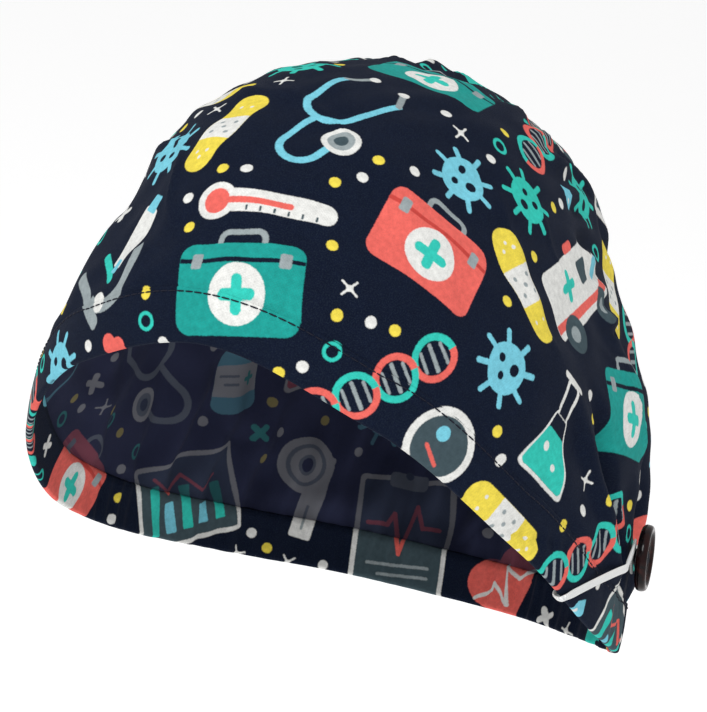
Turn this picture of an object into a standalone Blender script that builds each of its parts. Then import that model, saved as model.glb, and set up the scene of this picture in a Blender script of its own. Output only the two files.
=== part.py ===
"""Surgical scrub cap, held up in the shape it has when worn.

Metres, +Z up. The origin is where the head goes in: on the cap's centre line,
level with the hem over the forehead. The forehead faces -Y and the wearer's
left is +X. Angles go round the head in degrees, 0 over the forehead, 90 over
the left ear, 180 at the nape and negative on the wearer's right.
"""
import bpy
import bmesh
from functools import lru_cache
from math import atan2, cos, pi, radians, sin
from mathutils import Vector

# head opening, measured at the hem
OPENING_HALF_WIDTH = 0.087
OPENING_FRONT = 0.103
OPENING_BACK = 0.100
HEM_DROP = 0.111

# crown
CROWN_RISE = 0.0685
TOP_SETBACK = 0.004
CLOTH_THICKNESS = 0.0012
PIECE_GAP = 0.0003

# band, the folded hem
BAND_HEIGHT = 0.0150
BAND_THICKNESS = 0.0020
BAND_STANDS_PROUD = 0.0003

# folds in the cloth
FOLD_DEPTH = 0.0050
FOLD_HALF_WIDTH = 0.0085
GATHER_DEPTH = 0.0022
GATHER_SPACING = 0.0175
GATHERS_START = 86
GATHERS_FULL = 112
BAND_GATHER_DEPTH = 0.0005
PUCKER_DEPTH = 0.0008
PUCKER_SPACING = 0.0080
PUCKER_REACH = 0.0130
PUCKER_SETBACK = 0.0120
TOP_SMOOTH_FROM = 0.94

# how those folds spread, as ways from the hem to the top, shares or radians
GATHERS_GROW_OVER = 0.07
CLOSE_GATHERS_FADE = (0.14, 0.46)
BROAD_GATHERS_GROW = (0.10, 0.30)
BROAD_GATHERS_FADE = (0.45, 0.80)
BROAD_GATHERS_SHARE = 0.8
CLOSE_GATHERS_STRAY = 0.9
BROAD_GATHERS_STRAY = 1.3
BROAD_GATHERS_LEAN = 2.2
PUCKERS_STRAY = 0.8
FOLD_GROWS = (-0.2, 0.25)
FOLD_FADES = (0.6, 1.2)

# buttons
BUTTON_DIAMETER = 0.0195
BUTTON_THICKNESS = 0.0036
BUTTON_HOLE_DIAMETER = 0.0018
BUTTON_HOLE_SPACING = 0.0034
BUTTON_ANGLE = 103
BUTTON_ABOVE_BAND = 0.0026
CALM_RADIUS = 0.0220
SHANK_DIAMETER = 0.0048
SHANK_LENGTH = 0.0022
SHANK_WAIST = 0.85

# elastic
ELASTIC_WIDTH = 0.0024
ELASTIC_THICKNESS = 0.0009
ELASTIC_CLEARANCE = 0.0004
ELASTIC_HEM_ANGLE = 73
ELASTIC_TUCK = 0.0070
ELASTIC_RUN_STATIONS = 9
ELASTIC_BOW = 0.16
ELASTIC_WRAP_STEP = 20
ELASTIC_FOLD_TURNS = (-55, -20, 20, 55)
ELASTIC_FOLD_ROOM = 1.1

# hem line: angle, drop below the forehead as a share of HEM_DROP
HEM_LINE = (
    (0, 0.000),
    (30, 0.140),
    (60, 0.435),
    (90, 0.740),
    (120, 0.900),
    (150, 0.975),
    (180, 1.000),
)

# crown sections from the hem (way 0) to the top (way 1):
# half width, front reach and back reach are shares of the opening's,
# sag is how far the cloth hangs over to the left, a share of the half width,
# lifts are shares of the height from the hem below to the top
WAY, HALF_WIDTH, FRONT, BACK, SAG, LIFT_FRONT, LIFT_SIDE, LIFT_BACK = range(8)
SECTIONS = (
    (0.00, 1.000, 1.000, 1.00, 0.000, 0.000, 0.000, 0.000),
    (0.10, 0.995, 0.998, 1.06, 0.004, 0.150, 0.100, 0.095),
    (0.25, 0.960, 0.980, 1.18, 0.020, 0.280, 0.240, 0.257),
    (0.42, 0.890, 0.930, 1.25, 0.035, 0.410, 0.415, 0.450),
    (0.56, 0.800, 0.870, 1.18, 0.030, 0.545, 0.545, 0.610),
    (0.70, 0.705, 0.790, 1.00, 0.012, 0.690, 0.690, 0.760),
    (0.82, 0.590, 0.670, 0.75, 0.000, 0.820, 0.830, 0.875),
    (0.92, 0.400, 0.460, 0.43, -0.010, 0.930, 0.935, 0.950),
    (0.97, 0.235, 0.260, 0.24, -0.010, 0.978, 0.980, 0.984),
    (1.00, 0.000, 0.000, 0.00, -0.010, 1.000, 1.000, 1.000),
)

# single folds: angle and way at the foot, angle and way at the head,
# half width as a share of FOLD_HALF_WIDTH, depth as a share of FOLD_DEPTH (minus goes in)
FOLDS = (
    (97, 0.13, 82, 0.44, 0.75, -1.25),
    (90, 0.12, 74, 0.42, 0.85, 0.65),
    (114, 0.16, 104, 0.56, 1.30, -0.60),
    (108, 0.30, 96, 0.62, 0.90, 0.40),
    (56, 0.01, 73, 0.10, 0.35, -0.28),
    (130, 0.66, 118, 0.86, 0.80, 0.45),
    (141, 0.60, 132, 0.84, 0.80, -0.40),
    (-96, 0.13, -86, 0.46, 0.90, -0.60),
    (-112, 0.14, -100, 0.55, 1.10, 0.45),
    (-128, 0.16, -120, 0.62, 1.20, -0.60),
    (152, 0.18, 160, 0.60, 1.40, -0.55),
    (-150, 0.20, -163, 0.58, 1.40, -0.50),
    (176, 0.22, 178, 0.66, 1.30, 0.35),
)

# button from the back edge round to the sunk middle: shares of the radius and of the thickness
BUTTON_PROFILE = (
    (0.70, 0.00),
    (0.93, 0.12),
    (1.00, 0.40),
    (1.00, 0.75),
    (0.94, 1.00),
    (0.82, 1.00),
    (0.70, 0.65),
)

# mesh density
FRONT_STEP = 5.0
REAR_STEP = 2.5
CROWN_ROWS = 17
ROW_GROWTH = 1.25
BUTTON_SIDES = 28
HOLE_SIDES = 8
NUDGE_ANGLE = 0.5
NUDGE_WAY = 0.004
SHARP_FROM_ANGLE = 40


def clear_scene():
    for obj in list(bpy.data.objects):
        bpy.data.objects.remove(obj, do_unlink=True)


@lru_cache(maxsize=None)
def read_table(rows, at, column, flat_ends=False):
    """Smooth curve through one column of a table whose first column is `at`."""
    i = 0
    while i < len(rows) - 2 and at > rows[i + 1][0]:
        i += 1

    def slope(k):
        return (rows[k + 1][column] - rows[k][column]) / (rows[k + 1][0] - rows[k][0])

    def knot_slope(k):
        if k in (0, len(rows) - 1):
            return 0.0 if flat_ends else slope(min(k, len(rows) - 2))
        before, after = slope(k - 1), slope(k)
        return 0.0 if before * after <= 0 else 2 * before * after / (before + after)

    span = rows[i + 1][0] - rows[i][0]
    t = (at - rows[i][0]) / span
    return ((2 * t ** 3 - 3 * t ** 2 + 1) * rows[i][column]
            + (t ** 3 - 2 * t ** 2 + t) * span * knot_slope(i)
            + (3 * t ** 2 - 2 * t ** 3) * rows[i + 1][column]
            + (t ** 3 - t ** 2) * span * knot_slope(i + 1))


def ease(value, start, end):
    """0 before start, 1 after end, smooth between."""
    t = min(1.0, max(0.0, (value - start) / (end - start)))
    return t * t * (3 - 2 * t)


def bell(value):
    """1 at 0, falling to 0 at 1 and beyond."""
    return (1 - value * value) ** 2 if abs(value) < 1 else 0.0


@lru_cache(maxsize=None)
def hem_height(angle):
    return -HEM_DROP * read_table(HEM_LINE, abs(angle), 1, flat_ends=True)


@lru_cache(maxsize=None)
def smooth_point(angle, way):
    """Outer face of the cap without its folds."""
    forward, sideways = cos(radians(angle)), sin(radians(angle))
    x = read_table(SECTIONS, way, HALF_WIDTH) * sideways + read_table(SECTIONS, way, SAG)
    x *= OPENING_HALF_WIDTH
    middle = TOP_SETBACK * way * way
    lift = read_table(SECTIONS, way, LIFT_SIDE)
    if forward >= 0:
        y = middle - OPENING_FRONT * read_table(SECTIONS, way, FRONT) * forward
        lift += (read_table(SECTIONS, way, LIFT_FRONT) - lift) * forward ** 2
    else:
        y = middle - OPENING_BACK * read_table(SECTIONS, way, BACK) * forward
        lift += (read_table(SECTIONS, way, LIFT_BACK) - lift) * forward ** 2
    foot = hem_height(angle)
    return Vector((x, y, foot + lift * (CROWN_RISE - foot)))


def wrapped(angle):
    return (angle + 180) % 360 - 180


def along_ring(angle, way):
    """Vector from just before a point to just after it, the same way up the cloth."""
    before = smooth_point(wrapped(angle - NUDGE_ANGLE), way)
    return smooth_point(wrapped(angle + NUDGE_ANGLE), way) - before


def outward(angle, way):
    """Unit normal of the smooth face, pointing out of the cap."""
    middle = min(way, 1.0 - 2 * NUDGE_WAY)
    up = smooth_point(angle, middle + NUDGE_WAY) - smooth_point(angle, max(0.0, middle - NUDGE_WAY))
    return along_ring(angle, middle).cross(up).normalized()


@lru_cache(maxsize=None)
def square_to_hem(angle, height):
    """Where a line square to the hem at `angle` reaches `height`: its angle and its climb."""
    around = along_ring(angle, 0.0)
    climb = (smooth_point(angle, NUDGE_WAY) - smooth_point(angle, 0.0)).normalized()
    lean = climb.dot(around.normalized())
    rise = height / (1 - lean * lean) ** 0.5
    return angle - 2 * NUDGE_ANGLE * rise * lean / around.length, rise


@lru_cache(maxsize=None)
def way_above_hem(angle, height):
    """The way at which the cloth is `height` above the hem, measured square to the hem."""
    climb = square_to_hem(angle, height)[1]
    way, last = 0.0, smooth_point(angle, 0.0)
    while way < 1.0:
        following = smooth_point(angle, way + NUDGE_WAY)
        stretch = (following - last).length
        if stretch >= climb:
            return way + NUDGE_WAY * climb / stretch
        way, climb, last = way + NUDGE_WAY, climb - stretch, following
    return 1.0


def gathers(angle, way):
    """Waves that rise from the elastic part of the band, round the back.

    Close waves stand just above the band and run together into broad ones.
    """
    rear = ease(abs(angle), GATHERS_START, GATHERS_FULL)
    seam = way_above_hem(angle, BAND_HEIGHT)
    held = BAND_GATHER_DEPTH / GATHER_DEPTH
    free = held + (1 - held) * ease(way, seam, seam + GATHERS_GROW_OVER)
    count = round(2 * pi * OPENING_BACK / GATHER_SPACING)
    close = cos(radians(count * angle) + CLOSE_GATHERS_STRAY * sin(radians(3 * angle)))
    stray = BROAD_GATHERS_STRAY * sin(radians(2 * angle)) + BROAD_GATHERS_LEAN * way
    broad = cos(radians(count / 2 * angle) + stray)
    close_share = 1 - ease(way, *CLOSE_GATHERS_FADE)
    broad_share = BROAD_GATHERS_SHARE * ease(way, *BROAD_GATHERS_GROW)
    broad_share *= 1 - ease(way, *BROAD_GATHERS_FADE)
    return GATHER_DEPTH * rear * free * (close * close_share + broad * broad_share)


def puckers(point):
    """Short tucks across the head, just behind the top."""
    behind = (point.y - PUCKER_SETBACK) / PUCKER_REACH
    if abs(behind) > 1 or point.z < 0:
        return 0.0
    across = atan2(point.x, CROWN_RISE + point.z) * 2 * CROWN_RISE
    turns = across / PUCKER_SPACING
    return PUCKER_DEPTH * sin(2 * pi * turns + PUCKERS_STRAY * sin(turns)) * bell(behind)


def single_folds(angle, way):
    total = 0.0
    for foot_angle, foot_way, head_angle, head_way, width, depth in FOLDS:
        along = (way - foot_way) / (head_way - foot_way)
        if not FOLD_GROWS[0] < along < FOLD_FADES[1]:
            continue
        middle = foot_angle + (head_angle - foot_angle) * along
        away = radians(wrapped(angle - middle)) * OPENING_HALF_WIDTH
        fade = ease(along, *FOLD_GROWS) * (1 - ease(along, *FOLD_FADES))
        total += FOLD_DEPTH * depth * fade * bell(away / (FOLD_HALF_WIDTH * width))
    return total


def calm_by_button(angle, way):
    """The cloth lies flat where a button is sewn on."""
    side = 1 if angle > 0 else -1
    foot = smooth_point(side * BUTTON_ANGLE, button_way())
    return 1 - bell((smooth_point(angle, way) - foot).length / CALM_RADIUS)


def fold_height(angle, way):
    waves = gathers(angle, way) + single_folds(angle, way) + puckers(smooth_point(angle, way))
    return waves * calm_by_button(angle, way) * (1 - ease(way, TOP_SMOOTH_FROM, 1.0))


def crown_point(angle, way, depth=0.0):
    """A point of the crown's cloth, `depth` under its outer face."""
    return smooth_point(angle, way) + outward(angle, way) * (fold_height(angle, way) - depth)


def band_point(angle, height, depth=0.0):
    """A point of the band, `height` above the hem and `depth` under its outer face."""
    way = way_above_hem(angle, height)
    ripple = (single_folds(angle, way) + gathers(angle, way)) * calm_by_button(angle, way)
    return smooth_point(angle, way) + outward(angle, way) * (ripple + BAND_STANDS_PROUD - depth)


@lru_cache(maxsize=None)
def button_height():
    return BAND_HEIGHT + BUTTON_DIAMETER / 2 + BUTTON_ABOVE_BAND


@lru_cache(maxsize=None)
def button_way():
    return way_above_hem(BUTTON_ANGLE, button_height())


def columns():
    """Angles of the mesh columns, closer together round the back."""
    front = [-90 + FRONT_STEP * k for k in range(round(180 / FRONT_STEP))]
    rear = [90 + REAR_STEP * k for k in range(round(180 / REAR_STEP))]
    return [wrapped(angle) for angle in front + rear]


def make_material(name, color, roughness, metallic=0.0):
    material = bpy.data.materials.new(name)
    material.use_nodes = True
    shader = material.node_tree.nodes["Principled BSDF"]
    shader.inputs["Base Color"].default_value = (*color, 1.0)
    shader.inputs["Roughness"].default_value = roughness
    shader.inputs["Metallic"].default_value = metallic
    return material


def add_object(name, mesh_builder, material):
    mesh = bpy.data.meshes.new(name)
    bmesh.ops.recalc_face_normals(mesh_builder, faces=mesh_builder.faces[:])
    mesh_builder.to_mesh(mesh)
    mesh_builder.free()
    mesh.materials.append(material)
    mesh.shade_smooth()
    mesh.set_sharp_from_angle(angle=radians(SHARP_FROM_ANGLE))
    obj = bpy.data.objects.new(name, mesh)
    bpy.context.collection.objects.link(obj)
    return obj


def bridge_rings(builder, rings, closed=False):
    """Faces between one ring of vertices and the next, and back to the first if closed."""
    pairs = list(zip(rings, rings[1:])) + ([(rings[-1], rings[0])] if closed else [])
    for lower, upper in pairs:
        for k in range(len(lower)):
            following = (k + 1) % len(lower)
            builder.faces.new((lower[k], lower[following], upper[following], upper[k]))


def fan(builder, ring, tip):
    for k in range(len(ring)):
        builder.faces.new((ring[k], ring[(k + 1) % len(ring)], tip))


def build_crown(material):
    builder = bmesh.new()
    angles = columns()
    starts = [way_above_hem(angle, BAND_HEIGHT + PIECE_GAP) for angle in angles]

    def ring(share, depth):
        climb = 1 - (1 - share) ** ROW_GROWTH
        return [builder.verts.new(crown_point(angle, start + (1 - start) * climb, depth))
                for angle, start in zip(angles, starts)]

    shares = [k / CROWN_ROWS for k in range(CROWN_ROWS)]
    outer = [ring(share, 0.0) for share in shares]
    inner = [ring(share, CLOTH_THICKNESS) for share in shares]
    bridge_rings(builder, outer)
    bridge_rings(builder, inner)
    bridge_rings(builder, [outer[0], inner[0]])
    fan(builder, outer[-1], builder.verts.new(crown_point(0, 1.0)))
    fan(builder, inner[-1], builder.verts.new(crown_point(0, 1.0, CLOTH_THICKNESS)))
    return add_object("crown", builder, material)


def build_band(material):
    """A closed ring whose foot is rounded where the cloth is folded over."""
    builder = bmesh.new()
    rounding = BAND_THICKNESS / 2
    outline = (
        (BAND_HEIGHT, 0.0),
        (BAND_HEIGHT / 2, 0.0),
        (rounding, 0.0),
        (0.0, rounding),
        (rounding, BAND_THICKNESS),
        (BAND_HEIGHT / 2, BAND_THICKNESS),
        (BAND_HEIGHT, BAND_THICKNESS),
    )
    rings = [[builder.verts.new(band_point(angle, height, depth)) for angle in columns()]
             for height, depth in outline]
    bridge_rings(builder, rings, closed=True)
    return add_object("band", builder, material)


def button_frame(side):
    """Foot of the button on the cloth, its outward axis and its upward direction."""
    angle = side * BUTTON_ANGLE
    foot = crown_point(angle, button_way())
    axis = outward(angle, button_way())
    up = smooth_point(angle, button_way() + NUDGE_WAY) - smooth_point(angle, button_way())
    up = (up - axis * up.dot(axis)).normalized()
    return foot, axis, up


def turned(name, profile, side, material):
    """A solid turned round the button's axis from (radius, height above the cloth) rows."""
    foot, axis, up = button_frame(side)
    sideways = up.cross(axis)
    builder = bmesh.new()
    rings = []
    for radius, height in profile:
        ring = []
        for k in range(BUTTON_SIDES):
            turn = 2 * pi * k / BUTTON_SIDES
            spoke = sideways * cos(turn) + up * sin(turn)
            ring.append(builder.verts.new(foot + axis * height + spoke * radius))
        rings.append(ring)
    bridge_rings(builder, rings)
    builder.faces.new(rings[0])
    builder.faces.new(rings[-1])
    return add_object(name, builder, material)


def cut_button_holes(button, side):
    """Four sewing holes, cut by round pins that stay in the file as guides."""
    foot, axis, up = button_frame(side)
    sideways = up.cross(axis)
    turn = axis.to_track_quat("Z", "Y").to_euler()
    for number, (across, along) in enumerate(((1, 1), (-1, 1), (-1, -1), (1, -1)), start=1):
        place = foot + axis * (SHANK_LENGTH + BUTTON_THICKNESS / 2)
        place += (sideways * across + up * along) * (BUTTON_HOLE_SPACING / 2)
        bpy.ops.mesh.primitive_cylinder_add(vertices=HOLE_SIDES, radius=BUTTON_HOLE_DIAMETER / 2,
                                            depth=BUTTON_THICKNESS * 3, location=place, rotation=turn)
        pin = bpy.context.object
        pin.name = f"{button.name}_hole_{number}"
        pin.hide_render = True
        pin.display_type = "WIRE"
        cut = button.modifiers.new(f"hole_{number}", "BOOLEAN")
        cut.object = pin
        cut.operation = "DIFFERENCE"
        cut.solver = "EXACT"


def build_button(name, side, material):
    """A round button with a raised rim and a sunk middle."""
    radius = BUTTON_DIAMETER / 2
    profile = [(radius * out, SHANK_LENGTH + BUTTON_THICKNESS * up) for out, up in BUTTON_PROFILE]
    button = turned(name, profile, side, material)
    cut_button_holes(button, side)
    return button


def build_shank(name, side, material):
    """The wound thread between the cloth and the button."""
    radius = SHANK_DIAMETER / 2
    profile = (
        (radius, PIECE_GAP),
        (radius * SHANK_WAIST, SHANK_LENGTH / 2),
        (radius, SHANK_LENGTH - PIECE_GAP),
    )
    return turned(name, profile, side, material)


def elastic_stations():
    """Middle line of the elastic, with the direction its flat face looks."""
    lift = ELASTIC_CLEARANCE + ELASTIC_THICKNESS / 2
    rounding = BAND_THICKNESS / 2
    stations = []
    # up the inside of the band
    for height in (ELASTIC_TUCK, (ELASTIC_TUCK + BAND_THICKNESS) / 2, BAND_THICKNESS):
        here = square_to_hem(ELASTIC_HEM_ANGLE, height)[0]
        normal = outward(here, way_above_hem(here, height))
        stations.append((band_point(here, height, BAND_THICKNESS) - normal * lift, -normal))
    # round the fold of the hem
    middle = band_point(ELASTIC_HEM_ANGLE, rounding, rounding)
    normal = outward(ELASTIC_HEM_ANGLE, 0.0)
    down = along_ring(ELASTIC_HEM_ANGLE, 0.0).cross(normal).normalized()
    for turn in ELASTIC_FOLD_TURNS:
        spoke = normal * sin(radians(turn)) + down * cos(radians(turn))
        stations.append((middle + spoke * (rounding + lift) * ELASTIC_FOLD_ROOM, spoke))
    # straight across the band to the shank, over the folds
    foot, axis, up = button_frame(1)
    wrap = SHANK_DIAMETER / 2 + ELASTIC_CLEARANCE + ELASTIC_WIDTH / 2
    first_angle = square_to_hem(ELASTIC_HEM_ANGLE, BAND_THICKNESS)[0]
    for k in range(ELASTIC_RUN_STATIONS):
        share = k / ELASTIC_RUN_STATIONS
        here = first_angle + (BUTTON_ANGLE - first_angle) * share
        climbed = share + ELASTIC_BOW * sin(pi * share)
        height = BAND_THICKNESS + (button_height() + wrap - BAND_THICKNESS) * climbed
        way = way_above_hem(here, height)
        normal = outward(here, way)
        off_cloth = lift + BAND_STANDS_PROUD + max(0.0, fold_height(here, way))
        stations.append((smooth_point(here, way) + normal * off_cloth, normal))
    # half a turn round the shank, under the button
    sideways = up.cross(axis)
    for turn in range(90, -91, -ELASTIC_WRAP_STEP):
        spoke = sideways * -cos(radians(turn)) + up * sin(radians(turn))
        stations.append((foot + spoke * wrap + axis * lift, axis))
    return stations


def build_elastic(material):
    stations = elastic_stations()
    builder = bmesh.new()
    rings = []
    for k, (middle, face) in enumerate(stations):
        before = stations[max(0, k - 1)][0]
        after = stations[min(len(stations) - 1, k + 1)][0]
        along = (after - before).normalized()
        across = along.cross(face).normalized() * (ELASTIC_WIDTH / 2)
        thick = across.cross(along).normalized() * (ELASTIC_THICKNESS / 2)
        corners = (across + thick, across - thick, -across - thick, -across + thick)
        rings.append([builder.verts.new(middle + corner) for corner in corners])
    bridge_rings(builder, rings)
    builder.faces.new(rings[0])
    builder.faces.new(rings[-1])
    return add_object("ear_elastic", builder, material)


def main():
    clear_scene()
    cloth = make_material("printed_cotton", (0.009, 0.010, 0.024), 0.85)
    hem_cloth = make_material("hem_cotton", (0.008, 0.009, 0.022), 0.88)
    horn = make_material("dark_button", (0.018, 0.008, 0.007), 0.22)
    thread = make_material("navy_thread", (0.012, 0.014, 0.030), 0.80)
    elastic = make_material("white_elastic", (0.80, 0.80, 0.78), 0.75)
    build_crown(cloth)
    build_band(hem_cloth)
    for name, side in (("left", 1), ("right", -1)):
        build_button(f"button_{name}", side, horn)
        build_shank(f"button_shank_{name}", side, thread)
    build_elastic(elastic)


main()
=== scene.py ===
# Surgical scrub cap: a printed cotton crown on a folded hem, two sewn buttons and an ear elastic.
# Metres. The forehead faces -Y, the wearer's left is +X, and angles go round the head in degrees
# from the forehead, to 90 at the left ear and minus on the right. A way goes up the cloth, from 0
# at the hem to 1 at the top.
from functools import partial
from math import pi, radians

import bpy
import numpy as np
from mathutils import Matrix, Vector


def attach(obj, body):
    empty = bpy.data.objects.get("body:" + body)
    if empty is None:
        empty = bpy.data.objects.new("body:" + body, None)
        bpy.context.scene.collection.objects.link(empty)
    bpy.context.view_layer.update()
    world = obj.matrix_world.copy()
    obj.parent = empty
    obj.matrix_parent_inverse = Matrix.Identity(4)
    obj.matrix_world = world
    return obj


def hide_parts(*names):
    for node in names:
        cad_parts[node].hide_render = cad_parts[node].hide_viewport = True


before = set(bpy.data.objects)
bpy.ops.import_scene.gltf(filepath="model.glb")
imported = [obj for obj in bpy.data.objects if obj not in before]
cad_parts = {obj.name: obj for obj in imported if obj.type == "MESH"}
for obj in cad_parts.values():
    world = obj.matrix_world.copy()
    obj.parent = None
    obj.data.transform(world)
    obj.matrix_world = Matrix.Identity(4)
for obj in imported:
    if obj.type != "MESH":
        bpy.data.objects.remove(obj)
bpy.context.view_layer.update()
print("frame loaded")

opening = {"halfWidth": 0.087, "front": 0.103, "back": 0.100, "hemDrop": 0.111}
crown = {
    "rise": 0.0685, "setback": 0.004, "cloth": 0.0008,
    "tuckedIn": 0.0016, "sunkAtSeam": 0.0007, "sunkOver": 0.018,
    "columns": 432, "columnCrowding": 16, "rows": 108, "rowCrowding": 1.12,
    "foldDepth": 0.0050, "foldHalfWidth": 0.0085, "foldGrow": (-0.2, 0.25), "foldFade": (0.6, 1.2),
    "smoothFrom": 0.94,   # the way at which folds and gathers start to die out
}
gathering = {   # close gathers over the rear of the hem, broad ones above them
    "depth": 0.0024, "spacing": 0.0175, "from": 84, "full": 110, "heldByHem": 0.23, "growOver": 0.07,
    "closeFade": (0.14, 0.46), "closeStray": 0.9, "broadShare": 0.8, "broadGrow": (0.10, 0.30),
    "broadFade": (0.45, 0.80), "broadStray": 1.3, "broadLean": 2.2,
}
tucks = {   # short close tucks that the elastic in the rear of the hem makes
    "depth": 0.0008, "spacing": 0.0068, "reach": 0.11, "before": 6, "strays": ((2.4, 7), (1.1, 17)),
    "even": 0.65, "unevenTurns": 11, "unevenStart": 2,
}
puckering = {   # short tucks behind the top
    "depth": 0.0012, "spacing": 0.0100, "reach": 0.0180, "setback": 0.0200, "stray": 0.8,
}
wear = {   # broad swells, short rumples and a few thin creases of worn cotton
    "swellDepth": 0.0011, "swellSize": 0.050, "rumpleDepth": 0.00045, "rumpleSize": 0.017,
    "creaseDepth": 0.0009, "creaseSize": 0.060, "creaseSharp": 0.16, "creaseSpread": 1.5,
    "growOver": 0.05, "seed": 11,
}
band = {
    "height": 0.0150, "thickness": 0.0020, "proud": 0.0003, "columns": 640,
    "lip": 0.0006, "lipShoulder": 0.35, "topDip": (0.0002, 0.0003), "innerDip": 0.0004,
    "faceShares": (0.15, 0.26, 0.40, 0.54, 0.68, 0.82), "faceTop": 0.92, "foldStations": 9,
    "puff": 0.0003, "puffMiddle": 0.45, "puffReach": 0.5, "rippleDepth": 0.0006, "rippleSpacing": 0.0068,
    "printShift": (0.0002, 0.0001, 0.0003),
}
button = {
    "diameter": 0.0195, "thickness": 0.0036, "hole": 0.0019, "holeSpacing": 0.0034,
    "angle": 103, "aboveBand": 0.0026, "calm": 0.0220, "shank": 0.0048, "stand": 0.0022,
}

hemLine = ((0, 0.000), (30, 0.140), (60, 0.435), (90, 0.740), (120, 0.900), (150, 0.975), (180, 1.000))
sectionColumns = ("way", "halfWidth", "front", "back", "sag", "liftFront", "liftSide", "liftBack")
sections = (
    (0.00, 1.000, 1.000, 1.00, 0.000, 0.000, 0.000, 0.000),
    (0.10, 0.995, 0.998, 1.06, 0.004, 0.150, 0.100, 0.095),
    (0.25, 0.960, 0.980, 1.18, 0.020, 0.280, 0.240, 0.257),
    (0.42, 0.890, 0.930, 1.25, 0.035, 0.410, 0.415, 0.450),
    (0.56, 0.800, 0.870, 1.18, 0.030, 0.545, 0.545, 0.610),
    (0.70, 0.705, 0.790, 1.00, 0.012, 0.690, 0.690, 0.760),
    (0.82, 0.590, 0.670, 0.75, 0.000, 0.820, 0.830, 0.875),
    (0.92, 0.400, 0.460, 0.43, -0.010, 0.930, 0.935, 0.950),
    (0.97, 0.235, 0.260, 0.24, -0.010, 0.978, 0.980, 0.984),
    (1.00, 0.000, 0.000, 0.00, -0.010, 1.000, 1.000, 1.000),
)
# angle and way at the foot, angle and way at the head, width share, depth share (minus goes in)
folds = (
    (97, 0.13, 82, 0.44, 0.75, -1.25),
    (90, 0.12, 74, 0.42, 0.85, 0.65),
    (114, 0.16, 104, 0.56, 1.30, -0.60),
    (108, 0.30, 96, 0.62, 0.90, 0.40),
    (56, 0.01, 73, 0.10, 0.35, -0.28),
    (130, 0.66, 118, 0.86, 0.80, 0.45),
    (141, 0.60, 132, 0.84, 0.80, -0.40),
    (-96, 0.13, -86, 0.46, 0.90, -0.60),
    (-112, 0.14, -100, 0.55, 1.10, 0.45),
    (-128, 0.16, -120, 0.62, 1.20, -0.60),
    (152, 0.18, 160, 0.60, 1.40, -0.55),
    (-150, 0.20, -163, 0.58, 1.40, -0.50),
    (176, 0.22, 178, 0.66, 1.30, 0.35),
)
nudgeAngle = 0.5
nudgeWay = 0.004


def smoothCurve(rows, column, at, flatEnds=False):
    knots, heights = np.array(rows, float)[:, [0, column]].T
    slopes = np.diff(heights) / np.diff(knots)
    before, after = slopes[:-1], slopes[1:]
    together = before * after > 0
    inner = np.where(together, 2 * before * after / np.where(together, before + after, 1), 0)
    ends = (0.0, 0.0) if flatEnds else (slopes[0], slopes[-1])
    tangents = np.concatenate([[ends[0]], inner, [ends[1]]])
    k = np.clip(np.searchsorted(knots, at) - 1, 0, len(knots) - 2)
    span = knots[k + 1] - knots[k]
    t = (at - knots[k]) / span
    return ((2 * t**3 - 3 * t**2 + 1) * heights[k] + (t**3 - 2 * t**2 + t) * span * tangents[k]
            + (3 * t**2 - 2 * t**3) * heights[k + 1] + (t**3 - t**2) * span * tangents[k + 1])


def section(name, way):
    return smoothCurve(sections, sectionColumns.index(name), way)


def ease(value, start, end):
    t = np.clip((value - start) / (end - start), 0, 1)
    return t * t * (3 - 2 * t)


def bell(value):
    return np.where(np.abs(value) < 1, (1 - value * value) ** 2, 0.0)


def wrapped(angle):
    return (angle + 180) % 360 - 180


def unit(vectors):
    return vectors / np.linalg.norm(vectors, axis=-1, keepdims=True)


# outer face of the cap without its folds
def smoothPoint(angle, way):
    angle, way = np.broadcast_arrays(np.asarray(angle, float), np.asarray(way, float))
    forward, sideways = np.cos(np.radians(angle)), np.sin(np.radians(angle))
    ahead = forward >= 0
    x = opening["halfWidth"] * (section("halfWidth", way) * sideways + section("sag", way))
    reach = np.where(ahead, opening["front"] * section("front", way), opening["back"] * section("back", way))
    side = section("liftSide", way)
    ends = np.where(ahead, section("liftFront", way), section("liftBack", way))
    lift = side + (ends - side) * forward**2
    foot = -opening["hemDrop"] * smoothCurve(hemLine, 1, np.abs(wrapped(angle)), flatEnds=True)
    y = crown["setback"] * way**2 - reach * forward
    return np.stack([x, y, foot + lift * (crown["rise"] - foot)], -1)


def alongRing(angle, way):
    return smoothPoint(angle + nudgeAngle, way) - smoothPoint(angle - nudgeAngle, way)


def outward(angle, way):
    middle = np.minimum(way, 1 - 2 * nudgeWay)
    up = smoothPoint(angle, middle + nudgeWay) - smoothPoint(angle, np.maximum(0, middle - nudgeWay))
    return unit(np.cross(alongRing(angle, middle), up))


def climbAtHem(angle):
    return unit(smoothPoint(angle, nudgeWay) - smoothPoint(angle, 0))


# ways at which the cloth reaches these heights above the hem, measured square to the hem:
# one row for each angle, one column for each height
def waysAboveHem(angles, heights, reach=0.6, stations=151):
    ways = np.linspace(0, reach, stations)
    lines = smoothPoint(angles[:, None], ways[None, :])
    lengths = np.linalg.norm(np.diff(lines, axis=1), axis=-1).cumsum(1)
    lengths = np.concatenate([np.zeros((len(angles), 1)), lengths], 1)
    steepness = np.sqrt(1 - (unit(alongRing(angles, 0)) * climbAtHem(angles)).sum(-1) ** 2)
    return np.array([np.interp(np.asarray(heights) / s, row, ways) for s, row in zip(steepness, lengths)])


# the angle where a line square to the hem at this angle reaches this height
def squareToHem(angle, height):
    around = alongRing(angle, 0)
    lean = climbAtHem(angle) @ unit(around)
    return angle - 2 * nudgeAngle * height / np.sqrt(1 - lean**2) * lean / np.linalg.norm(around)


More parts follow.
